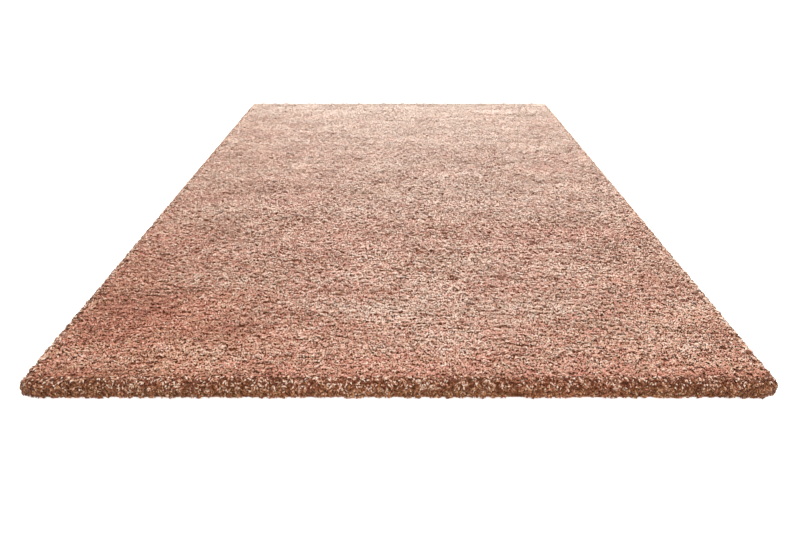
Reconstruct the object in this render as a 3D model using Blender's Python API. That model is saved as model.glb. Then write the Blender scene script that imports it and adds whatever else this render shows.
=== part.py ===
"""A rectangular shag rug lying flat: a lumpy slab of pile with locks at its rim.

Metres, +Z up. The origin is on the floor under the middle of the rug. The long sides run along Y.
"""

import math
import random
from collections import namedtuple
from itertools import pairwise

import bmesh
import bpy
from mathutils import Matrix, Vector

# Overall size, out to the tips of the longest locks
WIDTH = 1.60
LENGTH = 2.30

# The crown is a grid of cells, each with a lump in its middle
PILE_TOP = 0.0380
CELLS_ACROSS = 29
CELLS_ALONG = 41
LUMP_RISE = 0.0035  # of a cell's middle above the level pile, and of its corners below it
LUMP_SPREAD = 0.0035  # more or less, by chance
SEED = 7

# The rim's section, from the crown down to the floor. Inset is measured in from the overall outline.
Ring = namedtuple("Ring", "name inset height")
RINGS = (
    Ring("brow", inset=0.036, height=0.0400),
    Ring("shoulder", inset=0.019, height=0.0335),
    Ring("belly", inset=0.013, height=0.0150),
    Ring("base", inset=0.016, height=0.0),
)
BROW = RINGS[0]
CORNER_REACH = 1.15  # how much further out the rim stands at a corner, which keeps the corners tight
EDGE_TOLERANCE = 0.00001  # how near a point has to be to count as on the crown's edge

# Two rows of locks grow from the rim, each from every second face of its band, so that they alternate.
# A lock is drawn out through a neck and a bend to a point. Inset and height place the middle of each.
Section = namedtuple("Section", "inset height width thickness")
LockRow = namedtuple("LockRow", "band first_face neck bend tip")
LOCK_ROWS = (
    LockRow(
        band=0,
        first_face=0,
        neck=Section(inset=0.0170, height=0.0395, width=0.015, thickness=0.0090),
        bend=Section(inset=0.0085, height=0.0405, width=0.011, thickness=0.0070),
        tip=Section(inset=0.0, height=0.0345, width=0.0, thickness=0.0),
    ),
    LockRow(
        band=1,
        first_face=1,
        neck=Section(inset=0.0100, height=0.0235, width=0.015, thickness=0.0100),
        bend=Section(inset=0.0045, height=0.0145, width=0.011, thickness=0.0070),
        tip=Section(inset=0.0, height=0.0045, width=0.0, thickness=0.0),
    ),
)
LOCK_STEP = 2
BEND_SHARE = 0.4  # of its tip's sway, lift and shortfall
TIP_SHORTFALL = (-0.0030, 0.0060)  # how far short of the outline a tip stops; below 0 it just meets it
TIP_SWAY = 0.0090  # along the rim, either way
TIP_LIFT = 0.0030  # up or down
LOCK_SIZES = (0.80, 1.15)  # thinnest and thickest, against the row's own sections

# Hollows where the pile lies over. Along is measured from the near edge, and each wanders across the rug.
Hollow = namedtuple("Hollow", "along depth half_width wander")
HOLLOWS = (
    Hollow(along=0.21, depth=0.0045, half_width=0.055, wander=0.030),
    Hollow(along=0.53, depth=0.0035, half_width=0.045, wander=-0.025),
    Hollow(along=0.70, depth=0.0040, half_width=0.050, wander=0.020),
    Hollow(along=1.03, depth=0.0038, half_width=0.060, wander=-0.035),
    Hollow(along=1.34, depth=0.0030, half_width=0.050, wander=0.030),
    Hollow(along=1.66, depth=0.0036, half_width=0.065, wander=-0.020),
    Hollow(along=1.93, depth=0.0028, half_width=0.050, wander=0.025),
    Hollow(along=2.12, depth=0.0030, half_width=0.045, wander=-0.020),
)
WANDER_LENGTH = 1.1  # metres across for one full wander

YARN_HEX = "BE9481"
YARN_ROUGHNESS = 0.95


def clear_scene():
    """Removes whatever the new file starts with."""
    for found in list(bpy.data.objects):
        bpy.data.objects.remove(found)


def linear_colour(hex_code):
    """An sRGB hex colour as the linear numbers that a shader takes."""
    shares = [int(hex_code[i : i + 2], 16) / 255 for i in (0, 2, 4)]
    lit = [s / 12.92 if s <= 0.04045 else ((s + 0.055) / 1.055) ** 2.4 for s in shares]
    return (*lit, 1.0)


def pile_yarn():
    """Heat-set pile yarn, matt and soft: blush and rust strands mixed."""
    material = bpy.data.materials.new("pile_yarn")
    material.use_nodes = True
    shader = material.node_tree.nodes["Principled BSDF"]
    shader.inputs["Base Color"].default_value = linear_colour(YARN_HEX)
    shader.inputs["Roughness"].default_value = YARN_ROUGHNESS
    shader.inputs["Metallic"].default_value = 0.0
    return material


def pile_height(x, y):
    """The crown's height at a place, with the hollows where the pile lies over."""
    height = PILE_TOP
    for hollow in HOLLOWS:
        turn = 2 * math.pi * (x / WANDER_LENGTH + hollow.along)
        off_centre = y + LENGTH / 2 - hollow.along - hollow.wander * math.sin(turn)
        height -= hollow.depth * math.exp(-((off_centre / hollow.half_width) ** 2))
    return height


def add_crown(bm, rng):
    """Adds the rug's top, and returns the points of its outer edge in order round it."""
    half = Vector((WIDTH / 2 - BROW.inset, LENGTH / 2 - BROW.inset, 1.0))
    bmesh.ops.create_grid(
        bm,
        x_segments=CELLS_ACROSS,
        y_segments=CELLS_ALONG,
        size=1.0,
        matrix=Matrix.Diagonal(half).to_4x4(),
    )
    edge = [e for e in bm.edges if e.is_boundary]
    bmesh.ops.subdivide_edges(bm, edges=edge, cuts=1, use_single_edge=True, use_grid_fill=True)
    rim = {v for v in bm.verts if v.is_boundary}
    cells = [f for f in bm.faces if len(f.verts) == 4 and rim.isdisjoint(f.verts)]
    middles = set(bmesh.ops.poke(bm, faces=cells)["verts"])
    for v in bm.verts:
        lift = LUMP_RISE if v in middles else -LUMP_RISE
        level = BROW.height if v in rim else pile_height(v.co.x, v.co.y) + lift
        v.co.z = level + rng.uniform(-LUMP_SPREAD, LUMP_SPREAD)
    return sorted(rim, key=lambda v: math.atan2(v.co.y, v.co.x))


def side_of(at, reach):
    """1 or -1 for a point on that edge of the crown, and 0 for one between the edges."""
    return math.copysign(1, at) if math.isclose(abs(at), reach, abs_tol=EDGE_TOLERANCE) else 0


def way_out(point):
    """The level direction that leads away from the rug at a point of the crown's edge."""
    across = side_of(point.x, WIDTH / 2 - BROW.inset)
    along = side_of(point.y, LENGTH / 2 - BROW.inset)
    return Vector((across, along, 0)).normalized()


def add_rim(bm, brow):
    """Adds the bands from the crown's edge down to the flat base, and returns them, top band first."""
    outward = [way_out(v.co) for v in brow]
    rings = [brow]
    for ring in RINGS[1:]:
        points = []
        for v, out in zip(brow, outward, strict=True):
            reach = CORNER_REACH if out.x and out.y else 1.0
            place = v.co + out * reach * (BROW.inset - ring.inset)
            place.z = ring.height
            points.append(bm.verts.new(place))
        rings.append(points)
    bands = []
    for upper, lower in pairwise(rings):
        corners = zip(upper, lower, lower[1:] + lower[:1], upper[1:] + upper[:1], strict=True)
        bands.append([bm.faces.new(four) for four in corners])
    bm.faces.new(reversed(rings[-1]))
    return bands, outward


def lock_places(root, out, row, rng):
    """The middles of a lock's root, neck and bend, and its tip, with some sway."""
    root_inset = (RINGS[row.band].inset + RINGS[row.band + 1].inset) / 2
    sway = Vector((-out.y, out.x, 0)) * rng.uniform(-TIP_SWAY, TIP_SWAY)
    lift = rng.uniform(-TIP_LIFT, TIP_LIFT)
    shortfall = max(0.0, rng.uniform(*TIP_SHORTFALL))
    places = [root]
    for section, share in ((row.neck, 0.0), (row.bend, BEND_SHARE), (row.tip, 1.0)):
        place = root + out * (root_inset - section.inset - shortfall * share) + sway * share
        place.z = section.height + lift * share
        places.append(place)
    return places


def grow_lock(bm, face, out, row, rng):
    """Draws a rim face out into a four-sided lock that bends and ends in a point at the outline."""
    beside = Vector((-out.y, out.x, 0))
    places = lock_places(face.calc_center_median(), out, row, rng)
    size = rng.uniform(*LOCK_SIZES)
    for section, before, middle, after in zip((row.neck, row.bend), places, places[1:], places[2:]):
        face = bmesh.ops.extrude_discrete_faces(bm, faces=[face])["faces"][0]
        above = beside.cross(after - before).normalized()
        above *= math.copysign(1, above.z)
        for v in face.verts:
            off = v.co - before
            v.co = middle + beside * math.copysign(size * section.width / 2, off.dot(beside))
            v.co += above * math.copysign(size * section.thickness / 2, off.z)
    bmesh.ops.poke(bm, faces=[face])["verts"][0].co = places[-1]


def add_shag_rug():
    """The whole rug as one closed solid."""
    rng = random.Random(SEED)
    bm = bmesh.new()
    brow = add_crown(bm, rng)
    bands, outward = add_rim(bm, brow)
    for row in LOCK_ROWS:
        for i in range(row.first_face, len(brow), LOCK_STEP):
            between = (outward[i] + outward[(i + 1) % len(brow)]).normalized()
            grow_lock(bm, bands[row.band][i], between, row, rng)
    bmesh.ops.recalc_face_normals(bm, faces=bm.faces)
    mesh = bpy.data.meshes.new("shag_rug")
    bm.to_mesh(mesh)
    bm.free()
    mesh.shade_smooth()
    mesh.materials.append(pile_yarn())
    rug = bpy.data.objects.new("shag_rug", mesh)
    bpy.context.scene.collection.objects.link(rug)


clear_scene()
add_shag_rug()
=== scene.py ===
"""Blush shag rug: curled locks of heat-set yarn standing on a dense pile, with a woven ground cloth below.

Everything is in metres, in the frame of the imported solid. Only the lock forms are in millimetres.
"""

import math
from collections import namedtuple
from itertools import pairwise

import bpy
import numpy as np
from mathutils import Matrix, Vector
from mathutils.bvhtree import BVHTree


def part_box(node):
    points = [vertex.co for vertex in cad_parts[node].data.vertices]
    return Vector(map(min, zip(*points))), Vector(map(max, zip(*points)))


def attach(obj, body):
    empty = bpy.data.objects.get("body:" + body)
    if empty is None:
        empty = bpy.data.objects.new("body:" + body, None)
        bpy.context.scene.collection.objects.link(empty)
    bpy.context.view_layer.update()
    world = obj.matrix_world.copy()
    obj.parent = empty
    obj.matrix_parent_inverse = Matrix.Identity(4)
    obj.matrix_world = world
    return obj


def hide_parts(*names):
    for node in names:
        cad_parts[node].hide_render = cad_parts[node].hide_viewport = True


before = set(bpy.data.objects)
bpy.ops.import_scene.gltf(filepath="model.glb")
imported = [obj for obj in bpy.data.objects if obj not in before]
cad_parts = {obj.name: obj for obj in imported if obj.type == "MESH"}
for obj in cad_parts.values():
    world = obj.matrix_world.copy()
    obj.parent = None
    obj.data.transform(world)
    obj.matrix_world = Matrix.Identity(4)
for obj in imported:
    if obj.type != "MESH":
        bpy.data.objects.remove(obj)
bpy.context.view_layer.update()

MM = 0.001
SEED = 20
RUG_LOW, RUG_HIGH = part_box("shag_rug")
WIDTH = RUG_HIGH.x - RUG_LOW.x
LENGTH = RUG_HIGH.y - RUG_LOW.y

# The surface that the locks' bends lie on: the crown, a rounded shoulder and sides straight down
OUTLINE_INSET = 0.5 * MM
SHOULDER_WIDTH = 24.0 * MM  # the shoulder is a quarter of an ellipse, this far across and down
SHOULDER_DROP = 22.0 * MM
CORNER = 28.0 * MM  # radius of the rug's corners seen from above
RIM_TOP = 41.0 * MM
RIM_FOOT = 1.0 * MM
RIM_BLEND = (15 * MM, 60 * MM)  # from the rim's height to the crown's, by distance in from the outline
ARC_POINTS = 91  # that the shoulder is measured by
PILE_FOOT = 0.4 * MM  # how far above the floor the pile's lowest ends stop

# The crown follows the solid's, read over a field of points
CROWN_LIFT = 3.0 * MM  # of the bends above the solid's crown
CROWN_RELIEF = 0.15  # share of the solid's lumps that the locks follow
HOLLOW_RELIEF = 0.6  # and share of its hollows
FIELD_STEP = 10 * MM
FIELD_SIGHT = 1.0  # height that the solid is looked down on from
SMOOTHING = 6  # passes over the field's heights
LAST_CELL = 1.001  # just short of the field's last points, so that every place lies in a cell
FACING_SLOPE = 0.25  # share of the crown's slope that its soft shading follows
SLOPE_REACH = 4 * MM  # that the slope is measured over, to either side

# Smooth unevenness of a size, as waves about this long that are stretched across the rug
Wave = namedtuple("Wave", "size length stretch")
RIPPLE_WAVES = 20
RIPPLE_LENGTHS = (0.7, 1.5)  # shortest and longest of them, against the length asked for
LUMPS = (Wave(0.15 * MM, length=35 * MM, stretch=1.0), Wave(0.35 * MM, length=110 * MM, stretch=1.0))

# The woven rows of tufts, and the clumps that neighbouring locks gather in, stand a little higher, with
# painted light on the higher locks and painted shade on the lower
Gathering = namedtuple("Gathering", "length stretch rise tone")
TUFT_ROWS = Gathering(length=8 * MM, stretch=6.0, rise=0.8 * MM, tone=0.07)
CLUMPS = Gathering(length=15 * MM, stretch=1.4, rise=1.4 * MM, tone=0.05)
# Partings between the rows of tufts, drawn out across the rug where their ripples pass the start. They sink
# the locks and paint them darker: painted shade in the partings
Parting = namedtuple("Parting", "length stretch start depth tone")
PARTINGS = (
    Parting(length=15 * MM, stretch=2.2, start=0.75, depth=3.6 * MM, tone=-0.24),
    Parting(length=22 * MM, stretch=4.5, start=1.5, depth=5.0 * MM, tone=-0.30),
)
# How uneven the crown's pile is in height and tone, by distance from the near edge, where it is more even
UNEVENNESS = ((0.0, 0.74), (0.27, 0.76), (0.48, 1.0), (0.85, 1.12), (1.30, 1.12), (1.80, 1.0))

# Tufts that bulge out of the rim, with grooves between them, both by one ripple. A groove starts at the
# first of its limits and is deepest at the second. A bulge does the same on the ripple's other side.
SCALLOP = 22 * MM
GROOVE_LIMITS = (-0.2, 1.3)
BULGE_LIMITS = (0.0, 1.6)
SCALLOP_DEPTH = 4.0 * MM
SCALLOP_BULGE = 2.0 * MM
# Painted shade in the grooves between the tufts
GROOVE_PAINTED_SHADE = -0.18
SHOULDER_SCALLOP = 0.5  # share of the scallops' depth at the top of the shoulder
SHOULDER_RELIEF = 0.45  # share of the crown's rows, clumps and partings that runs on over the shoulder
SHOULDER_CONTRAST = 1.7  # of their painted light and shade there, against the crown's

# How the locks stand
CROWN_PIECES = 5
CROWN_LOCKS = 205000
RIM_SPACING = 3.6 * MM
JITTER = 0.42  # of the spacing, either way
SINK = 2.4 * MM  # spread of the bends' heights
LEAN_SPREAD = 0.2  # sideways lean for an upright of 1
LEAN_LIMIT = 2 * LEAN_SPREAD
SIZE_RANGE = (0.80, 1.20)
CROSSWISE = (1.3, 1.0, 1.0)  # the tufts are woven in rows across the rug, and their locks nod more that way
CROWN_SOFTNESS = 0.85  # how far light takes the locks as one soft surface, and not each by itself
RIM_SOFTNESS = 0.3
LEAN_ACROSS = Wave(0.12, length=0.25, stretch=1.0)  # the way that the pile leans, for an upright of 1
LEAN_ALONG = Wave(0.16, length=0.12, stretch=3.0)
CROWN_NOD = 1.5  # how far the crown's locks nod over the way that the pile leans, for a lean of 1
SHOULDER_NOD = 0.8  # and how far the shoulder's nod over outwards and the sides' down, for 1 out of the pile
SIDE_NOD = 3.0
RIM_LEAN = 0.3
SHOULDER_LIGHT = 0.45  # how far the shoulder's soft shading leans upwards, for 1 out of the pile

# The yarn's tone: how pale it is, from 0 to 1, and how much of it is the tan yarn
PALE = 0.60
PALE_WAVES = (Wave(0.035, length=0.045, stretch=1.5), Wave(0.05, 0.12, 2.5), Wave(0.03, 0.60, 1.5))
PALE_LIMITS = (0.02, 0.98)
TONE_SPREAD = 0.27  # from lock to lock
SHOULDER_TONE_SPREAD = 0.52
SIDE_TONE_SPREAD = 0.24
TAN_SHARE = 0.45
TAN_WAVES = (Wave(0.20, length=0.055, stretch=1.6), Wave(0.14, 0.22, 2.0))
FOOT = (10.0 * MM, 39.0 * MM)  # heights that the lower part of the sides fades out between, painted darker and browner as shade
FOOT_PAINTED_SHADE = -0.07
FOOT_TAN = 0.35  # more of the tan yarn there, browning the painted shade

# Each lock is a strand that thickens towards its cut end and nods over. Across is the way it nods, up is out
# of the pile, and its bend is at 0, 0. Everything is in millimetres.
LockForm = namedtuple("LockForm", "name root_across root_up tip_across tip_up thick")
LOCK_FORMS = (
    LockForm("nodding", -5.6, -7.5, 4.1, -0.5, 3.6),
    LockForm("lying", -7.0, -6.0, 4.6, -1.0, 3.4),
    LockForm("resting", -7.6, -5.2, 4.4, -1.2, 3.4),
    LockForm("hooked", -5.2, -8.0, 3.8, -1.8, 3.6),
    LockForm("short", -4.0, -8.5, 3.1, 0.4, 3.9),
)
SHOULDER_FORMS = (
    LockForm("rolled", -7.0, -6.0, 5.4, -1.2, 3.6),
    LockForm("swept", -8.0, -4.5, 5.6, -0.8, 3.4),
    LockForm("jutting", -5.5, -7.0, 4.8, 0.8, 3.6),
    LockForm("tucked", -4.5, -7.5, 4.0, -1.0, 4.1),
)
SIDE_FORMS = (
    LockForm("draped", -8.5, -4.2, 6.8, -2.1, 3.4),
    LockForm("hanging", -9.5, -3.4, 7.2, -1.6, 3.2),
    LockForm("pressed", -7.0, -5.0, 5.6, -1.9, 3.7),
)
BEND_TWIST = 0.2  # how much higher one side of the bend is, as a share of the thickness
ROOT_RISE = 0.0  # how far up the strand each point is, which its colour goes by, deepening as painted shade towards the root
RIDGE_RISE = 0.95
FLANK_PAINTED_SHADE_RISE = 0.66  # lower than its ridge: painted shade, where its neighbours shade it
TIP_RISE = 1.0
PLACE_DIGITS = 5  # that a point's place is rounded to, in metres
MAP_HALF_WIDTH = 0.004  # of a lock, in the mapping that colours are baked to
MAP_MARGIN = 0.02  # below and above it there


def linear(hex_code):
    """An sRGB hex colour as the linear numbers that a shader takes."""
    shares = [int(hex_code[i : i + 2], 16) / 255 for i in (0, 2, 4)]
    lit = [s / 12.92 if s <= 0.04045 else ((s + 0.055) / 1.055) ** 2.4 for s in shares]
    return (*lit, 1.0)


# Materials

MIX_SHARE = 0  # sockets of a colour mix, by number because several of them share a name
MIX_FIRST = 6
MIX_SECOND = 7
MIX_RESULT = 2


def new_material(name):
    """A new material with nothing in it yet, and its tree of nodes."""
    material = bpy.data.materials.new(name)
    material.use_nodes = True
    material.node_tree.nodes.clear()
    return material, material.node_tree


def node(tree, kind, settings=(), links=()):
    """Adds a node with its settings, input values and links, and returns it."""
    added = tree.nodes.new("ShaderNode" + kind)
    for key, value in dict(settings).items():
        if isinstance(key, int) or key in added.inputs:
            added.inputs[key].default_value = value
        else:
            setattr(added, key, value)
    for key, source in dict(links).items():
        tree.links.new(source, added.inputs[key])
    return added


def set_ramp(ramp, stops):
    """Gives a colour ramp these (position, hex colour) stops."""
    band = ramp.color_ramp
    while len(band.elements) > 1:
        band.elements.remove(band.elements[-1])
    for i, (position, hex_code) in enumerate(stops):
        stop = band.elements[0] if i == 0 else band.elements.new(position)
        stop.position = position
        stop.color = linear(hex_code)
    return ramp.outputs["Color"]


def finish_with(tree, settings, links=()):
    """Adds the surface's shader and the output."""
    shader = node(tree, "BsdfPrincipled", settings, links)
    node(tree, "OutputMaterial", links={"Surface": shader.outputs["BSDF"]})


# Two plied yarns by tone, at their tips and roots: rose from deep to pale, the palest of both, then tan from
# pale to deep. The roots' deeper colours are painted shade down in the pile.
Yarn = namedtuple("Yarn", "name tips roots sheen shine")
TIP_TONES = (0.0, 0.15, 0.25, 0.35, 0.5, 0.65, 0.75, 0.85, 1.0)
ROOT_TONES = (0.0, 0.5, 1.0)
CROWN_YARN = Yarn(
    "heat_set_yarn_crown",
    tips=("8A3F21", "AC6043", "BF7E64", "C9957E", "D7BCAA", "C1987D", "B68364", "A46542", "844321"),
    roots=("673116", "8B5335", "643316"),
    sheen=0.85,
    shine=0.42,
)
# Painted shade on the shoulder: deeper dark ends and roots than the crown's yarn
SHOULDER_YARN = Yarn(
    "heat_set_yarn_shoulder",
    tips=("6D3112", "9B5A39", "BB8164", "D2A28A", "E4C7B3", "CDA48A", "B58363", "965D39", "6A3312"),
    roots=("512308", "784629", "4F2408"),
    sheen=0.38,
    shine=0.25,
)
# Painted shade on the sides: deeper dark ends and roots than the crown's yarn
SIDE_YARN = Yarn(
    "heat_set_yarn_sides",
    tips=("793917", "9E5D37", "BA7E59", "CB987A", "DEBFA9", "C69B79", "B48059", "995F37", "753C17"),
    roots=("4C260F", "704322", "4A280F"),
    sheen=0.25,
    shine=0.2,
)


def heat_set_yarn(yarn):
    """Heat-set polypropylene shag yarn, two colours plied and crimped.

    It is soft and matt, and shinier at the tips. Its colour deepens from the tips down to the deep rust
    roots:
    painted shade down in the pile, where the strands shade each other.
    """
    material, tree = new_material(yarn.name)
    tone = node(tree, "Attribute", {"attribute_name": "yarn_tone"}).outputs["Fac"]
    rise = node(tree, "Attribute", {"attribute_name": "strand_rise"}).outputs["Fac"]
    tips = node(tree, "ValToRGB", links={"Fac": tone})
    tip_colour = set_ramp(tips, zip(TIP_TONES, yarn.tips, strict=True))
    roots = node(tree, "ValToRGB", links={"Fac": tone})
    root_colour = set_ramp(roots, zip(ROOT_TONES, yarn.roots, strict=True))
    # Painted shade: the colour deepens from the tip colours to the root colours down each strand
    depth = node(
        tree,
        "MapRange",
        {"interpolation_type": "SMOOTHSTEP", "From Min": 0.30, "From Max": 0.90},
        {"Value": rise},
    )
    colour = node(
        tree,
        "Mix",
        {"data_type": "RGBA"},
        {MIX_SHARE: depth.outputs["Result"], MIX_FIRST: root_colour, MIX_SECOND: tip_colour},
    )
    finish_with(
        tree,
        {
            "Roughness": 0.55,
            "IOR": 1.49,
            "Specular IOR Level": yarn.shine,
            "Sheen Weight": yarn.sheen,
            "Sheen Roughness": 0.4,
            "Sheen Tint": linear("F5EFDF"),
        },
        {"Base Color": colour.outputs[MIX_RESULT]},
    )
    return material


STRANDS_PER_METRE = 260.0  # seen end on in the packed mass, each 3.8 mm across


def packed_roots():
    """The yarn's lower ends, packed into a mass: fibrous and dull, seen through gaps in the locks. Their
    dark brown is painted shade of the pile's depths.
    """
    material, tree = new_material("packed_yarn_roots")
    places = node(tree, "TexCoord").outputs["Object"]
    grain = {"Scale": STRANDS_PER_METRE, "Detail": 3.0, "Roughness": 0.6}
    fibres = node(tree, "TexNoise", grain, {"Vector": places}).outputs["Fac"]
    colour = set_ramp(node(tree, "ValToRGB", links={"Fac": fibres}), ((0.3, "5A2C19"), (0.7, "7C452B")))
    bump = node(tree, "Bump", {"Strength": 0.6, "Distance": 2 * MM}, {"Height": fibres})
    finish_with(
        tree,
        {"Roughness": 0.95, "IOR": 1.49, "Specular IOR Level": 0.2},
        {"Base Color": colour, "Normal": bump.outputs["Normal"]},
    )
    return material


# Three times as coarse as a shag rug's real ground threads, 4 and 3.2 mm apart, so that the weave shows
WEFT_PITCH = 12.0 * MM
WARP_PITCH = 9.6 * MM
THREAD_SHADE = 0.35  # share of the weave in the cloth's colour, beside the threads' own fibres
FIBRES_PER_METRE = 420.0  # slubs of the threads, each 2.4 mm long


def over_and_under(tree, source, pitch):
    """A wave along one coordinate that goes over one thread and under the next."""
    turns = node(tree, "Math", {"operation": "MULTIPLY", 1: math.pi / pitch}, {0: source})
    return node(tree, "Math", {"operation": "SINE"}, {0: turns.outputs[0]}).outputs[0]


def woven_ground():
    """Jute and polypropylene ground cloth, plain woven: flat beige threads with a dry, dull face."""
    material, tree = new_material("woven_ground_cloth")
    places = node(tree, "TexCoord").outputs["Object"]
    across = node(tree, "SeparateXYZ", links={"Vector": places})
    warp = over_and_under(tree, across.outputs["X"], WARP_PITCH)
    weft = over_and_under(tree, across.outputs["Y"], WEFT_PITCH)
    # Plain weave: which thread is on top alternates from crossing to crossing.
    over = node(tree, "Math", {"operation": "MULTIPLY"}, {0: warp, 1: weft}).outputs[0]
    height = node(tree, "Math", {"operation": "ABSOLUTE"}, {0: over}).outputs[0]
    fibres = node(tree, "TexNoise", {"Scale": FIBRES_PER_METRE, "Detail": 2.0}, {"Vector": places})
    mixed = node(
        tree,
        "Math",
        {"operation": "MULTIPLY_ADD", 1: THREAD_SHADE},
        {0: over, 2: fibres.outputs["Fac"]},
    )
    ramp = node(tree, "ValToRGB", links={"Fac": mixed.outputs[0]})
    colour = set_ramp(ramp, ((0.1, "8F7558"), (0.5, "BBA27F"), (0.9, "D6C3A4")))
    bump = node(tree, "Bump", {"Strength": 0.35, "Distance": 0.8 * MM}, {"Height": height})
    finish_with(
        tree,
        {"Roughness": 0.9, "IOR": 1.5, "Specular IOR Level": 0.25},
        {"Base Color": colour, "Normal": bump.outputs["Normal"]},
    )
    return material


def white_paper():
    """Matt white studio paper, lit a little from within, so that it stays plain and pale."""
    material, tree = new_material("white_paper")
    finish_with(
        tree,
        {
            "Base Color": linear("F4F4F4"),
            "Roughness": 0.9,
            "Specular IOR Level": 0.1,
            "Emission Color": linear("FFFFFF"),
            "Emission Strength": 0.6,
        },
    )
    return material


# Modelling


def start_edit():
    """Opens the new primitive for editing, with nothing selected."""
    bpy.ops.object.mode_set(mode="EDIT")
    bpy.ops.mesh.select_mode(type="VERT")
    bpy.ops.mesh.select_all(action="DESELECT")


def pick(mesh, wanted):
    """Selects the points of the open mesh for which wanted(place) holds."""
    bpy.ops.mesh.select_all(action="DESELECT")
    bpy.ops.object.mode_set(mode="OBJECT")
    for v in mesh.vertices:
        v.select = wanted(v.co)
    bpy.ops.object.mode_set(mode="EDIT")


def face_outwards():
    """Turns all the faces of the open mesh outwards."""
    bpy.ops.mesh.select_all(action="SELECT")
    bpy.ops.mesh.normals_make_consistent(inside=False)


def end_edit(name):
    """Closes the edited primitive, names it and puts its place into its mesh."""
    bpy.ops.object.mode_set(mode="OBJECT")
    piece = bpy.context.object
    piece.name = name
    piece.data.name = name
    bpy.ops.object.transform_apply(location=True, rotation=True, scale=True)
    return piece


def model_lock(form):
    """Models one lock from a three-sided cone.

    One corner of its base is drawn back and down to be the root. The other two are the bend, one a little
    higher. Its point is moved over to be the tip.
    """
    thick = form.thick * MM
    radius = thick / math.sqrt(3)
    behind = 1.5 * radius  # from the bend back to the base's third corner
    bpy.ops.object.select_all(action="DESELECT")
    bpy.ops.mesh.primitive_cone_add(
        vertices=3,
        radius1=radius,
        radius2=0.0,
        depth=thick,
        location=(-radius / 2, 0, thick / 2),
        rotation=(0, 0, math.pi / 2),
    )
    lock = bpy.context.object
    bpy.ops.object.transform_apply(location=True, rotation=True, scale=True)
    start_edit()
    pick(lock.data, lambda at: at.z > thick / 2)
    tip = (form.tip_across * MM + radius / 2, 0, (form.tip_up - form.thick) * MM)
    bpy.ops.transform.translate(value=tip)
    pick(lock.data, lambda at: at.x < -radius)
    bpy.ops.transform.translate(value=(form.root_across * MM + behind, 0, form.root_up * MM))
    pick(lock.data, lambda at: at.y > radius / 2)
    bpy.ops.transform.translate(value=(0, 0, BEND_TWIST * form.thick * MM))
    face_outwards()
    return end_edit("lock_" + form.name)


# One lock as arrays: its points, its triangles, how far up the strand each point is, with painted shade
# lowering its flanks, and which side of the bend it is on
LockShape = namedtuple("LockShape", "points faces rise side")


def nearest(points, across, up):
    """Which point is nearest to a place in the plane that the lock bends in, given in millimetres."""
    return np.argmin(np.linalg.norm(points - np.array((across, 0, up)) * MM, axis=1))


def lock_shape(form):
    """The arrays of a modelled lock, whose object is then no longer needed."""
    lock = model_lock(form)
    mesh = lock.data
    points = np.array([v.co for v in mesh.vertices])
    faces = np.array([f.vertices for f in mesh.polygons])
    root = nearest(points, form.root_across, form.root_up)
    tip = nearest(points, form.tip_across, form.tip_up)
    rise = np.full(len(points), FLANK_PAINTED_SHADE_RISE)
    bend = [i for i in range(len(points)) if i not in (root, tip)]
    rise[max(bend, key=lambda i: points[i, 2])] = RIDGE_RISE
    rise[root] = ROOT_RISE
    rise[tip] = TIP_RISE
    bpy.data.objects.remove(lock)
    bpy.data.meshes.remove(mesh)
    return LockShape(points, faces, rise, np.sign(np.round(points[:, 1], PLACE_DIGITS)))


# The pile's surface


def smooth_step(value, low, high):
    """0 below low, 1 above high, and a soft change between them."""
    t = np.clip((value - low) / (high - low), 0, 1)
    return t * t * (3 - 2 * t)


def ripples(x, y, length, rng, stretch=1.0):
    """Seeded smooth unevenness of about unit spread, in waves about this long, stretched across the rug."""
    total = np.zeros(len(x))
    for _ in range(RIPPLE_WAVES):
        heading, start = rng.uniform(0, 2 * math.pi, 2)
        turns = 2 * math.pi / (length * rng.uniform(*RIPPLE_LENGTHS))
        total += np.sin(turns * (math.cos(heading) * x / stretch + math.sin(heading) * y) + start)
    return total / math.sqrt(RIPPLE_WAVES / 2)


def swell(x, y, wave, rng):
    """One wave's unevenness at each place, in its own size."""
    return wave.size * ripples(x, y, wave.length, rng, wave.stretch)


def crown_field(columns, rows):
    """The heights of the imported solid's crown over a field of points."""
    mesh = bpy.data.objects["shag_rug"].data
    solid = BVHTree.FromPolygons([v.co for v in mesh.vertices], [f.vertices for f in mesh.polygons])
    heights = np.full((columns, rows), RIM_TOP - CROWN_LIFT)
    for i in range(columns):
        for j in range(rows):
            above = Vector((RUG_LOW.x + i * FIELD_STEP, RUG_LOW.y + j * FIELD_STEP, FIELD_SIGHT))
            hit = solid.ray_cast(above, Vector((0, 0, -1)))[0]
            if hit:
                heights[i, j] = hit.z
    return heights


def smoothed(level):
    """The field's heights, evened out. Each point's four neighbours count for half in each pass."""
    for _ in range(SMOOTHING):
        wide = np.pad(level, 1, mode="edge")
        level = (wide[:-2, 1:-1] + wide[2:, 1:-1] + wide[1:-1, :-2] + wide[1:-1, 2:] + 4 * level) / 8
    return level


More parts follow.
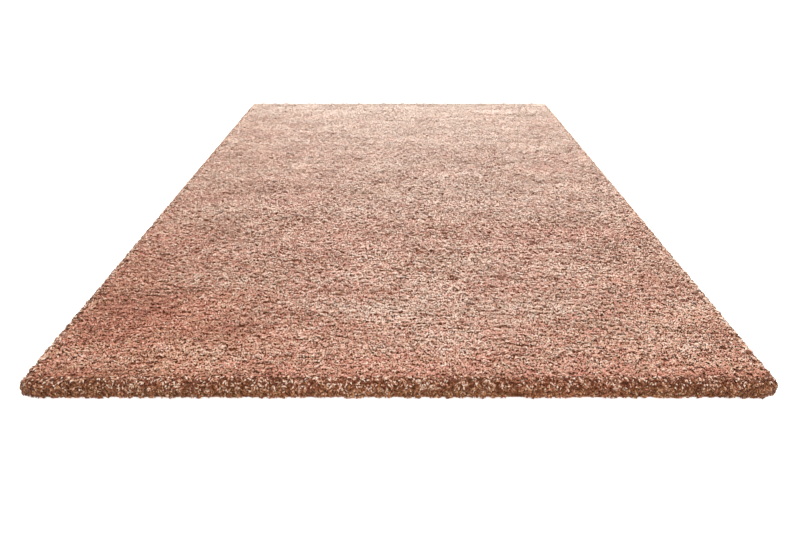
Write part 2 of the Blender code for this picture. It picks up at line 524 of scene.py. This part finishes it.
class Crown:
    """The solid's crown over the rug as a height, partly smoothed, with unevenness of the locks' own."""

    def __init__(self):
        self.columns = round(WIDTH / FIELD_STEP) + 1
        self.rows = round(LENGTH / FIELD_STEP) + 1
        heights = crown_field(self.columns, self.rows)
        level = smoothed(heights)
        across, along = np.meshgrid(np.arange(self.columns), np.arange(self.rows), indexing="ij")
        across = across.ravel() * FIELD_STEP
        along = along.ravel() * FIELD_STEP
        rng = np.random.default_rng(SEED + 1)
        lumps = sum(swell(across, along, wave, rng) for wave in LUMPS)
        flatter = level.mean() + HOLLOW_RELIEF * (level - level.mean())
        self.heights = flatter + CROWN_RELIEF * (heights - level) + lumps.reshape(level.shape)

    def height(self, x, y):
        """The height of the locks' bends at each place."""
        u = np.clip((x - RUG_LOW.x) / FIELD_STEP, 0, self.columns - LAST_CELL)
        v = np.clip((y - RUG_LOW.y) / FIELD_STEP, 0, self.rows - LAST_CELL)
        i = u.astype(int)
        j = v.astype(int)
        s = u - i
        t = v - j
        low = self.heights[i, j] * (1 - s) + self.heights[i + 1, j] * s
        high = self.heights[i, j + 1] * (1 - s) + self.heights[i + 1, j + 1] * s
        inset = np.minimum(WIDTH / 2 - np.abs(x), LENGTH / 2 - np.abs(y))
        inner = smooth_step(inset, *RIM_BLEND)
        return RIM_TOP + (low * (1 - t) + high * t + CROWN_LIFT - RIM_TOP) * inner


def crown_places(rng):
    """Places for locks over the crown, on a jittered staggered grid, as x and y."""
    reach_x = WIDTH / 2 - OUTLINE_INSET - SHOULDER_WIDTH
    reach_y = LENGTH / 2 - OUTLINE_INSET - SHOULDER_WIDTH
    spacing = math.sqrt(4 * reach_x * reach_y / CROWN_LOCKS)
    columns = round(2 * reach_x / spacing)
    rows = round(2 * reach_y / spacing)
    i, j = np.meshgrid(np.arange(columns), np.arange(rows), indexing="ij")
    # Every second row stands half a space further across.
    i = i + 0.25 + 0.5 * (j % 2)
    x = -reach_x + (i + rng.uniform(-JITTER, JITTER, i.shape)) * 2 * reach_x / columns
    y = -reach_y + (j + 0.5 + rng.uniform(-JITTER, JITTER, i.shape)) * 2 * reach_y / rows
    past_x = np.maximum(np.abs(x) - (reach_x + SHOULDER_WIDTH - CORNER), 0)
    past_y = np.maximum(np.abs(y) - (reach_y + SHOULDER_WIDTH - CORNER), 0)
    kept = np.hypot(past_x, past_y) < CORNER - SHOULDER_WIDTH
    return x[kept], y[kept]


# A place down the rim: how far out of the shoulder's start and how high it is, the level and upright parts
# of the direction out of the pile there, and the shoulder's whole length
RimPlace = namedtuple("RimPlace", "out height level upright shoulder")


def rim_profile(down):
    """The places this far down the rim, measured along its surface."""
    turns = np.linspace(0, math.pi / 2, ARC_POINTS)
    steps = np.hypot(SHOULDER_WIDTH * np.diff(np.sin(turns)), SHOULDER_DROP * np.diff(np.cos(turns)))
    lengths = np.append(0, np.cumsum(steps))
    turn = np.interp(down, lengths, turns)
    out = SHOULDER_WIDTH * np.sin(turn)
    height = RIM_TOP - SHOULDER_DROP * (1 - np.cos(turn)) - np.maximum(down - lengths[-1], 0)
    level = SHOULDER_DROP * np.sin(turn)
    upright = SHOULDER_WIDTH * np.cos(turn)
    length = np.hypot(level, upright)
    return RimPlace(out, height, level / length, upright / length, lengths[-1])


def rim_places(rng):
    """Places for locks on the shoulder and sides, with the direction out of the pile and the level way out
    of the rug at each."""
    reach_x = WIDTH / 2 - OUTLINE_INSET - CORNER
    reach_y = LENGTH / 2 - OUTLINE_INSET - CORNER
    profile = rim_profile(0.0).shoulder + RIM_TOP - SHOULDER_DROP - RIM_FOOT
    rows = round(profile / RIM_SPACING)
    places = []
    outs = []
    ways = []
    for row in range(rows):
        middle = (row + 0.5) * profile / rows
        rounding = (CORNER - SHOULDER_WIDTH + rim_profile(middle).out) * math.pi / 2
        extra = max(1, round(rounding / RIM_SPACING))
        for corner in range(4):
            long_side = corner % 2 == 0
            heading = corner * math.pi / 2
            ahead = np.array([math.cos(heading), math.sin(heading)])
            beside = np.array([-math.sin(heading), math.cos(heading)])
            reach_out = reach_x if long_side else reach_y
            reach_beside = reach_y if long_side else reach_x
            count = round(2 * reach_beside / RIM_SPACING)
            along = (np.arange(count) + 0.5 * (row % 2) + rng.uniform(-JITTER, JITTER, count)) / count
            along = reach_beside * np.append(2 * along - 1, np.ones(extra))
            # The corner's own locks turn from this side to the next.
            turned = np.append(np.zeros(count), (np.arange(extra) + 0.5) / extra * math.pi / 2)
            down = middle + rng.uniform(-JITTER, JITTER, count + extra) * profile / rows
            at = rim_profile(np.clip(down, 0, profile))
            way = np.stack((np.cos(heading + turned), np.sin(heading + turned)), 1)
            foot = ahead * reach_out + beside * along[:, None]
            spot = foot + way * (CORNER - SHOULDER_WIDTH + at.out)[:, None]
            places.append(np.column_stack((spot, at.height)))
            outs.append(np.column_stack((way * at.level[:, None], at.upright)))
            ways.append(way)
    return np.vstack(places), np.vstack(outs), np.vstack(ways)


# Planting the locks


def unit(vectors):
    """Each vector at length 1."""
    return vectors / np.linalg.norm(vectors, axis=1, keepdims=True)


# Where locks stand: the places of their bends, and for each the direction out of the pile, the yarn's tone
# with its painted light and shade, how far it leans and nods over for an upright of 1, and the direction
# that its soft shading faces
Bed = namedtuple("Bed", "places outs tones lean nod facing")

# How each lock of a bed stands: its bend, the three directions that it is modelled in, its size and its form
Stand = namedtuple("Stand", "places ahead beside up sizes kinds")

# All the locks of a bed together: their points and triangles, and for each point the place in the bed that
# it belongs to, how far up the strand it is, with painted shade on the flanks, and which side of the bend it
# is on
Locks = namedtuple("Locks", "points faces owners rises sides")


def part_of(bed, mine):
    """The places of a bed that are picked."""
    return Bed(*(values[mine] for values in bed))


def stand_up(bed, kind_count, rng):
    """Lets each lock lean and turn its own way, sink by its own amount, and have its own size and form."""
    count = len(bed.places)
    astray = np.clip(rng.normal(0, LEAN_SPREAD, (count, 3)), -LEAN_LIMIT, LEAN_LIMIT)
    up = unit(bed.outs + bed.lean + astray)
    curl = rng.normal(0, 1, (count, 3)) * CROSSWISE + bed.nod
    ahead = unit(curl - up * (curl * up).sum(1, keepdims=True))
    beside = np.cross(up, ahead)
    sizes = rng.uniform(*SIZE_RANGE, count)
    sunk = bed.places - bed.outs * (rng.uniform(0, 1, count) ** 2 * SINK)[:, None]
    return Stand(sunk, ahead, beside, up, sizes, rng.integers(0, kind_count, count))


def join_locks(shapes, stand):
    """Puts a copy of its lock's shape at each place, one form after another."""
    points = []
    faces = []
    owners = []
    rises = []
    sides = []
    start = 0
    for kind, shape in enumerate(shapes):
        mine = np.flatnonzero(stand.kinds == kind)
        own = shape.points[None] * stand.sizes[mine, None, None]
        placed = (
            stand.places[mine, None]
            + own[..., 0:1] * stand.ahead[mine, None]
            + own[..., 1:2] * stand.beside[mine, None]
            + own[..., 2:3] * stand.up[mine, None]
        )
        points.append(placed.reshape(-1, 3))
        offset = start + np.arange(len(mine)) * len(shape.points)
        faces.append((shape.faces[None] + offset[:, None, None]).reshape(-1, 3))
        owners.append(np.repeat(mine, len(shape.points)))
        rises.append(np.tile(shape.rise, len(mine)))
        sides.append(np.tile(shape.side, len(mine)))
        start += len(mine) * len(shape.points)
    points = np.vstack(points)
    points[:, 2] = np.maximum(points[:, 2], PILE_FOOT)
    return Locks(points, np.vstack(faces), *(np.concatenate(each) for each in (owners, rises, sides)))


def triangle_mesh(name, points, faces):
    """A smoothly shaded mesh of triangles."""
    mesh = bpy.data.meshes.new(name)
    mesh.vertices.add(len(points))
    mesh.vertices.foreach_set("co", points.astype(np.float32).ravel())
    mesh.loops.add(faces.size)
    mesh.loops.foreach_set("vertex_index", faces.ravel())
    mesh.polygons.add(len(faces))
    mesh.polygons.foreach_set("loop_start", np.arange(0, faces.size, 3))
    mesh.update(calc_edges=True)
    mesh.shade_smooth()
    return mesh


def plant(name, shapes, bed, softness, rng):
    """Joins a lock for each place of a bed into one piece, with its tones, mapping and soft shading."""
    locks = join_locks(shapes, stand_up(bed, len(shapes), rng))
    mesh = triangle_mesh(name, locks.points, locks.faces)
    tones = bed.tones[locks.owners]
    for attribute, values in (("yarn_tone", tones), ("strand_rise", locks.rises)):
        layer = mesh.attributes.new(attribute, "FLOAT", "POINT")
        layer.data.foreach_set("value", values.astype(np.float32))
    corners = locks.faces.ravel()
    across = (tones + locks.sides * MAP_HALF_WIDTH)[corners]
    along = (MAP_MARGIN + (1 - 2 * MAP_MARGIN) * locks.rises)[corners]
    layer = mesh.uv_layers.new(name="OFBake")
    layer.uv.foreach_set("vector", np.column_stack((across, along)).astype(np.float32).ravel())
    own = np.empty(locks.points.size, np.float32)
    mesh.vertex_normals.foreach_get("vector", own)
    soft = unit(own.reshape(-1, 3) * (1 - softness) + bed.facing[locks.owners] * softness)
    mesh.normals_split_custom_set_from_vertices(soft)
    piece = bpy.data.objects.new(name, mesh)
    bpy.context.scene.collection.objects.link(piece)
    return piece


# Patches where the pile lies over, from feet and from being rolled up. Lean is towards the near edge. Their
# tone is
# painted light and shade: darker where the pile leans towards the near edge and shows its shaded side, paler
# where it leans away. Patches of tone alone paint the far end paler, the top of the far edge darker, strips
# along the sides of the far half paler, and other patches and bands across the rug paler or darker. Across
# is measured from the middle and along from the near edge.
Lay = namedtuple("Lay", "across along half_across half_along lean tone")
LAYS_AND_PAINTED_LIGHT = (
    Lay(0.00, 0.020, 3.00, 0.030, lean=0.25, tone=-0.28),
    Lay(0.76, 0.015, 0.14, 0.040, lean=0.10, tone=-0.25),
    Lay(-0.08, 0.000, 0.12, 0.020, lean=0.00, tone=0.08),
    Lay(-0.70, 0.005, 0.15, 0.030, lean=0.10, tone=-0.18),
    Lay(0.33, 0.010, 0.22, 0.030, lean=0.00, tone=0.09),
    Lay(0.10, 0.140, 0.30, 0.060, lean=-0.15, tone=0.09),
    Lay(0.70, 0.140, 0.15, 0.050, lean=-0.10, tone=0.08),
    Lay(-0.72, 0.430, 0.13, 0.250, lean=0.10, tone=-0.24),
    Lay(-0.05, 0.290, 0.20, 0.040, lean=-0.15, tone=0.08),
    Lay(-0.50, 0.940, 0.40, 0.060, lean=0.10, tone=-0.05),
    Lay(-0.58, 0.300, 0.22, 0.070, lean=0.35, tone=-0.24),
    Lay(-0.38, 0.200, 0.25, 0.040, lean=0.20, tone=-0.10),
    Lay(0.14, 0.310, 0.32, 0.070, lean=-0.20, tone=0.13),
    Lay(0.02, 0.085, 0.26, 0.030, lean=0.15, tone=-0.17),
    Lay(-0.40, 0.135, 0.18, 0.035, lean=0.05, tone=-0.10),
    Lay(-0.10, 0.720, 1.40, 0.090, lean=0.25, tone=-0.20),
    Lay(-0.65, 0.560, 0.25, 0.150, lean=0.15, tone=-0.08),
    Lay(-0.50, 1.020, 0.35, 0.060, lean=0.15, tone=-0.22),
    Lay(0.10, 1.010, 0.16, 0.060, lean=-0.15, tone=0.10),
    Lay(-0.50, 1.400, 0.40, 0.180, lean=0.15, tone=-0.13),
    Lay(0.50, 1.300, 0.30, 0.100, lean=0.10, tone=-0.05),
    Lay(-0.70, 1.850, 0.25, 0.350, lean=0.10, tone=-0.13),
    Lay(0.10, 1.750, 0.25, 0.100, lean=-0.10, tone=0.05),
    Lay(0.02, 0.380, 0.22, 0.150, lean=-0.10, tone=0.13),
    Lay(-0.60, 1.180, 0.35, 0.250, lean=0.10, tone=-0.09),
    Lay(0.65, 1.350, 0.25, 0.450, lean=0.10, tone=-0.09),
    Lay(0.60, 0.760, 0.30, 0.070, lean=0.10, tone=-0.08),
    Lay(-0.55, 0.200, 0.28, 0.090, lean=0.10, tone=-0.15),
    Lay(0.15, 0.260, 0.55, 0.040, lean=-0.10, tone=0.10),
    Lay(0.52, 0.400, 0.35, 0.060, lean=0.10, tone=-0.11),
    Lay(0.00, 2.260, 3.00, 0.180, lean=0.00, tone=0.36),
    Lay(0.00, 1.800, 3.00, 0.320, lean=0.00, tone=0.07),
    Lay(0.00, 2.306, 3.00, 0.014, lean=0.00, tone=-0.85),
    Lay(0.00, 0.230, 3.00, 0.180, lean=0.00, tone=-0.055),
    Lay(0.00, 1.150, 3.00, 0.350, lean=0.00, tone=0.03),
    Lay(-0.80, 1.800, 0.02, 0.700, lean=0.00, tone=0.30),
    Lay(0.80, 1.800, 0.02, 0.700, lean=0.00, tone=0.30),
    Lay(0.25, 1.050, 0.40, 0.170, lean=-0.10, tone=0.06),
    Lay(0.10, 1.750, 0.28, 0.600, lean=-0.10, tone=0.11),
)


def lays_at(x, y):
    """Each lay, with its share at each place: 1 in its middle, and fading out round it."""
    for lay in LAYS_AND_PAINTED_LIGHT:
        off = ((x - lay.across) / lay.half_across) ** 2 + ((y - RUG_LOW.y - lay.along) / lay.half_along) ** 2
        yield lay, np.exp(-off)


def pile_pale(x, y, spread, rng):
    """How pale the yarn is at each place, from 0 to 1, with the lays' painted light and shade."""
    pale = PALE + rng.normal(0, spread, len(x))
    for wave in PALE_WAVES:
        pale += swell(x, y, wave, rng)
    # The lays' painted light and shade
    for lay, share in lays_at(x, y):
        pale += lay.tone * share
    return pale


def yarn_mix(x, y, pale, more_tan, rng):
    """Picks one of the two plied yarns for each place. Tone runs from deep rose at 0, through palest blush
    at 0.5, to deep tan at 1."""
    tan = TAN_SHARE + more_tan
    for wave in TAN_WAVES:
        tan = tan + swell(x, y, wave, rng)
    half = np.clip(pale, *PALE_LIMITS) / 2
    return np.where(rng.uniform(0, 1, len(x)) < tan, 1 - half, half)


def pile_lean(x, y, rng):
    """Which way the pile lies at each place, as a level vector for an upright of 1."""
    lean = np.zeros((len(x), 3))
    lean[:, 0] = swell(x, y, LEAN_ACROSS, rng)
    lean[:, 1] = swell(x, y, LEAN_ALONG, rng)
    for lay, share in lays_at(x, y):
        lean[:, 1] -= lay.lean * share
    return lean


def gather(x, y, rng):
    """How far the rows, clumps and partings between tufts raise the locks at each place, and how much paler
    they are painted: painted light on the raised locks, painted shade on the sunk ones and in the partings."""
    row = ripples(x, y, TUFT_ROWS.length, rng, TUFT_ROWS.stretch)
    clump = ripples(x, y, CLUMPS.length, rng, CLUMPS.stretch)
    rise = TUFT_ROWS.rise * row + CLUMPS.rise * clump
    paler = TUFT_ROWS.tone * row + CLUMPS.tone * clump
    for parting in PARTINGS:
        ripple = ripples(x, y, parting.length, rng, parting.stretch)
        share = smooth_step(ripple, parting.start, parting.start + 1)
        rise = rise - parting.depth * share
        paler = paler + parting.tone * share
    return rise, paler


def crown_bed(crown, rng):
    """Where the crown's locks stand."""
    x, y = crown_places(rng)
    z = crown.height(x, y)
    slope_x = (crown.height(x + SLOPE_REACH, y) - crown.height(x - SLOPE_REACH, y)) / (2 * SLOPE_REACH)
    slope_y = (crown.height(x, y + SLOPE_REACH) - crown.height(x, y - SLOPE_REACH)) / (2 * SLOPE_REACH)
    outs = unit(np.column_stack((-FACING_SLOPE * slope_x, -FACING_SLOPE * slope_y, np.ones(len(x)))))
    rise, paler = gather(x, y, rng)
    uneven = np.interp(y - RUG_LOW.y, *zip(*UNEVENNESS, strict=True))
    # With the rows', clumps' and partings' painted light and shade
    pale = pile_pale(x, y, TONE_SPREAD * uneven, rng) + paler * uneven
    lean = pile_lean(x, y, rng)
    tones = yarn_mix(x, y, pale, 0.0, rng)
    return Bed(np.column_stack((x, y, z + rise * uneven)), outs, tones, lean, CROWN_NOD * lean, outs)


def rim_bed(rng):
    """Where the locks of the shoulder and sides stand, and how far each is down the sides, from 0 to 1."""
    places, outs, ways = rim_places(rng)
    x, y, z = places.T
    low = 1 - smooth_step(z, *FOOT)
    # The tufts' pattern runs on over the shoulder and down.
    unrolled = places[:, :2] + ways * (RIM_TOP - z)[:, None]
    rise, paler = gather(*unrolled.T, rng)
    tuft = ripples(x, y, SCALLOP, rng)
    groove = smooth_step(tuft, *GROOVE_LIMITS)
    scallop = SCALLOP_BULGE * smooth_step(-tuft, *BULGE_LIMITS) - SCALLOP_DEPTH * groove
    rise = SHOULDER_RELIEF * rise * (1 - low) + scallop * (low + SHOULDER_SCALLOP * (1 - low))
    spread = SHOULDER_TONE_SPREAD + (SIDE_TONE_SPREAD - SHOULDER_TONE_SPREAD) * low
    # Painted shade: darker and browner low on the sides, and darker in the grooves between tufts
    pale = pile_pale(x, y, spread, rng) + FOOT_PAINTED_SHADE * low + GROOVE_PAINTED_SHADE * groove
    # The rows', clumps' and partings' painted light and shade, stronger over the shoulder
    pale += SHOULDER_CONTRAST * paler * (1 - low)
    tones = yarn_mix(x, y, pale, FOOT_TAN * low, rng)
    hang = np.zeros(places.shape)
    hang[:, 2] = -RIM_LEAN * (1 - outs[:, 2])
    nod = np.zeros(places.shape)
    nod[:, :2] = SHOULDER_NOD * ways * (1 - low)[:, None]
    nod[:, 2] = -(SHOULDER_NOD + (SIDE_NOD - SHOULDER_NOD) * low) * (1 - outs[:, 2])
    facing = outs.copy()
    facing[:, 2] += SHOULDER_LIGHT * (1 - low)
    return Bed(places + outs * rise[:, None], outs, tones, hang, nod, unit(facing)), low


def make_pile(crown):
    """All the locks: the crown's in strips across the rug, the shoulder's round it and the sides'."""
    rng = np.random.default_rng(SEED)
    shapes = [lock_shape(form) for form in LOCK_FORMS]
    bed = crown_bed(crown, rng)
    strip = np.clip(((bed.places[:, 1] / LENGTH + 0.5) * CROWN_PIECES).astype(int), 0, CROWN_PIECES - 1)
    crown_pieces = []
    for i in range(CROWN_PIECES):
        own_bed = part_of(bed, strip == i)
        crown_pieces.append(plant(f"crown_locks_{i + 1}", shapes, own_bed, CROWN_SOFTNESS, rng))
    bed, low = rim_bed(rng)
    on_side = rng.uniform(0, 1, len(low)) < low
    shapes = [lock_shape(form) for form in SHOULDER_FORMS]
    shoulder = plant("shoulder_locks", shapes, part_of(bed, ~on_side), RIM_SOFTNESS, rng)
    shapes = [lock_shape(form) for form in SIDE_FORMS]
    side = plant("side_locks", shapes, part_of(bed, on_side), RIM_SOFTNESS, rng)
    return crown_pieces, shoulder, side


# Under the locks

ROOTS_BELOW = 5.5 * MM  # under the locks' bends
ROOT_CELLS = (58, 83)
# The roots' own shoulder, from its edge on the crown down: inset from the outline, and drop to it
RootRing = namedtuple("RootRing", "inset drop")
ROOT_RINGS = (
    RootRing(inset=25.5 * MM, drop=0.0),
    RootRing(inset=14.0 * MM, drop=2.7 * MM),
    RootRing(inset=9.0 * MM, drop=6.8 * MM),
    RootRing(inset=6.5 * MM, drop=8.0 * MM),
)
ROOT_CORNER = 7.0 * MM  # how far the corners of its sides stand back, each way
CLOTH_CELLS = (16, 23)
CLOTH_INSET = 15.0 * MM
CLOTH_TOP = 2.0 * MM
CLOTH_FOOT = -0.1 * MM  # pressed a hair into the floor, so that the two faces don't mix


def start_grid(cells, inset):
    """A level grid over the rug, this far in from its outline."""
    columns, rows = cells
    bpy.ops.object.select_all(action="DESELECT")
    bpy.ops.mesh.primitive_grid_add(x_subdivisions=columns, y_subdivisions=rows, size=1.0)
    grid = bpy.context.object
    grid.scale = (WIDTH - 2 * inset, LENGTH - 2 * inset, 1.0)
    bpy.ops.object.transform_apply(location=True, rotation=True, scale=True)
    return grid


def draw_edge(inset, next_inset, drop):
    """Draws the selected edge from one distance inside the outline to the next, and down."""
    wider = (WIDTH / 2 - next_inset) / (WIDTH / 2 - inset)
    longer = (LENGTH / 2 - next_inset) / (LENGTH / 2 - inset)
    bpy.ops.mesh.extrude_edges_move(TRANSFORM_OT_translate={"value": (0, 0, -drop)})
    bpy.ops.transform.resize(value=(wider, longer, 1.0), center_override=(0, 0, 0))


def in_corner(way_x, way_y):
    """A test for places in one corner of the roots' sides, past the cloth."""
    past_x = WIDTH / 2 - CLOTH_INSET + MM
    past_y = LENGTH / 2 - CLOTH_INSET + MM
    return lambda at: at.x * way_x > past_x and at.y * way_y > past_y


def make_roots(crown):
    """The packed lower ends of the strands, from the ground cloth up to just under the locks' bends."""
    roots = start_grid(ROOT_CELLS, ROOT_RINGS[0].inset)
    places = np.array([v.co for v in roots.data.vertices])
    heights = crown.height(places[:, 0], places[:, 1]) - ROOTS_BELOW
    for v, height in zip(roots.data.vertices, heights, strict=True):
        v.co.z = height
    start_edit()
    bpy.ops.mesh.select_mode(type="EDGE")
    bpy.ops.mesh.select_all(action="SELECT")
    bpy.ops.mesh.region_to_loop()
    for ring, next_ring in pairwise(ROOT_RINGS):
        draw_edge(ring.inset, next_ring.inset, next_ring.drop)
    # Down to the floor, in under the pile as far as the cloth, and up to lie on it
    bpy.ops.mesh.extrude_edges_move(TRANSFORM_OT_translate={"value": (0, 0, 0)})
    bpy.ops.transform.resize(value=(1.0, 1.0, 0.0), center_override=(0, 0, PILE_FOOT))
    draw_edge(ROOT_RINGS[-1].inset, CLOTH_INSET, 0.0)
    bpy.ops.mesh.extrude_edges_move(TRANSFORM_OT_translate={"value": (0, 0, CLOTH_TOP - PILE_FOOT)})
    bpy.ops.mesh.fill()
    bpy.ops.mesh.select_mode(type="VERT")
    for way_x, way_y in ((1, 1), (1, -1), (-1, 1), (-1, -1)):
        pick(roots.data, in_corner(way_x, way_y))
        bpy.ops.transform.translate(value=(-way_x * ROOT_CORNER, -way_y * ROOT_CORNER, 0))
    face_outwards()
    roots = end_edit("pile_roots")
    roots.data.shade_smooth()
    return roots


def make_cloth():
    """The ground cloth that the yarn is woven into, flat on the floor."""
    start_grid(CLOTH_CELLS, CLOTH_INSET)
    start_edit()
    bpy.ops.mesh.select_all(action="SELECT")
    bpy.ops.transform.translate(value=(0, 0, CLOTH_FOOT))
    cloth = end_edit("ground_cloth")
    wall = cloth.modifiers.new("thickness", "SOLIDIFY")
    wall.thickness = CLOTH_TOP - CLOTH_FOOT
    wall.offset = 1.0
    bpy.ops.object.modifier_apply(modifier="thickness")
    return cloth


# The stage

# The photograph's camera: an ordinary wide lens, standing before the near edge and looking down
PHOTO_WIDTH_PX = 800
FOCAL_PX = 591.7
SENSOR_MM = 36.0
CAMERA_PITCH = math.radians(29.63)
CAMERA_AT = (0.003, RUG_LOW.y - 0.942, 0.856)

FLOOR_SIZE = 60.0
WORLD_STRENGTH = 0.7
SUN_STRENGTH = 2.8
SUN_ANGLE = math.radians(60)
SUN_FROM = (0.2, 0.38, 1.0)
SoftBox = namedtuple("SoftBox", "name size power at aim")
SOFT_BOXES = (
    SoftBox("soft_box_behind", (5.0, 1.2), 290, at=(0.3, 4.2, 1.8), aim=(0.0, 0.5, 0.2)),
    SoftBox("soft_box_before", (5.0, 1.5), 20, at=(0.0, -4.2, 1.2), aim=(0.0, -1.0, 0.0)),
)


def add_object(data):
    """Adds an object that holds a camera or a light."""
    holder = bpy.data.objects.new(data.name, data)
    bpy.context.scene.collection.objects.link(holder)
    return holder


def shining_from(direction):
    """The turn that makes a light shine from this direction."""
    return Vector(direction).to_track_quat("Z", "Y").to_euler()


def set_camera():
    """The photograph's view."""
    camera = bpy.data.cameras.new("camera")
    camera.sensor_width = SENSOR_MM
    camera.lens = FOCAL_PX * SENSOR_MM / PHOTO_WIDTH_PX
    holder = add_object(camera)
    holder.location = CAMERA_AT
    holder.rotation_euler = (math.pi / 2 - CAMERA_PITCH, 0, 0)
    bpy.context.scene.camera = holder
    bpy.context.scene.view_settings.view_transform = "Standard"


def set_floor():
    """A plain white floor."""
    bpy.ops.object.select_all(action="DESELECT")
    bpy.ops.mesh.primitive_plane_add(size=FLOOR_SIZE)
    floor = bpy.context.object
    floor.name = "floor"
    floor.data.materials.append(white_paper())


def set_lights():
    """Soft light from above and behind, with a little from before the rug."""
    world = bpy.data.worlds.new("studio")
    world.use_nodes = True
    background = world.node_tree.nodes["Background"]
    background.inputs["Color"].default_value = linear("FFFFFF")
    background.inputs["Strength"].default_value = WORLD_STRENGTH
    bpy.context.scene.world = world

    sun = bpy.data.lights.new("soft_sky", "SUN")
    sun.energy = SUN_STRENGTH
    sun.angle = SUN_ANGLE
    add_object(sun).rotation_euler = shining_from(SUN_FROM)

    for soft_box in SOFT_BOXES:
        box = bpy.data.lights.new(soft_box.name, "AREA")
        box.shape = "RECTANGLE"
        box.size, box.size_y = soft_box.size
        box.energy = soft_box.power
        holder = add_object(box)
        holder.location = soft_box.at
        holder.rotation_euler = shining_from(Vector(soft_box.at) - Vector(soft_box.aim))


def main():
    """Sets the stage, builds the rug's pieces, gives them their materials, hangs them on the root body and
    hides the imported solid.
    """
    set_camera()
    set_floor()
    set_lights()
    crown = Crown()
    crown_pieces, shoulder, side = make_pile(crown)
    locks = [*crown_pieces, shoulder, side]
    roots = make_roots(crown)
    cloth = make_cloth()
    crown_yarn = heat_set_yarn(CROWN_YARN)
    for piece in crown_pieces:
        piece.data.materials.append(crown_yarn)
    shoulder.data.materials.append(heat_set_yarn(SHOULDER_YARN))
    side.data.materials.append(heat_set_yarn(SIDE_YARN))
    roots.data.materials.append(packed_roots())
    cloth.data.materials.append(woven_ground())
    for piece in (*locks, roots, cloth):
        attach(piece, "root")
        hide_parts("shag_rug")


main()
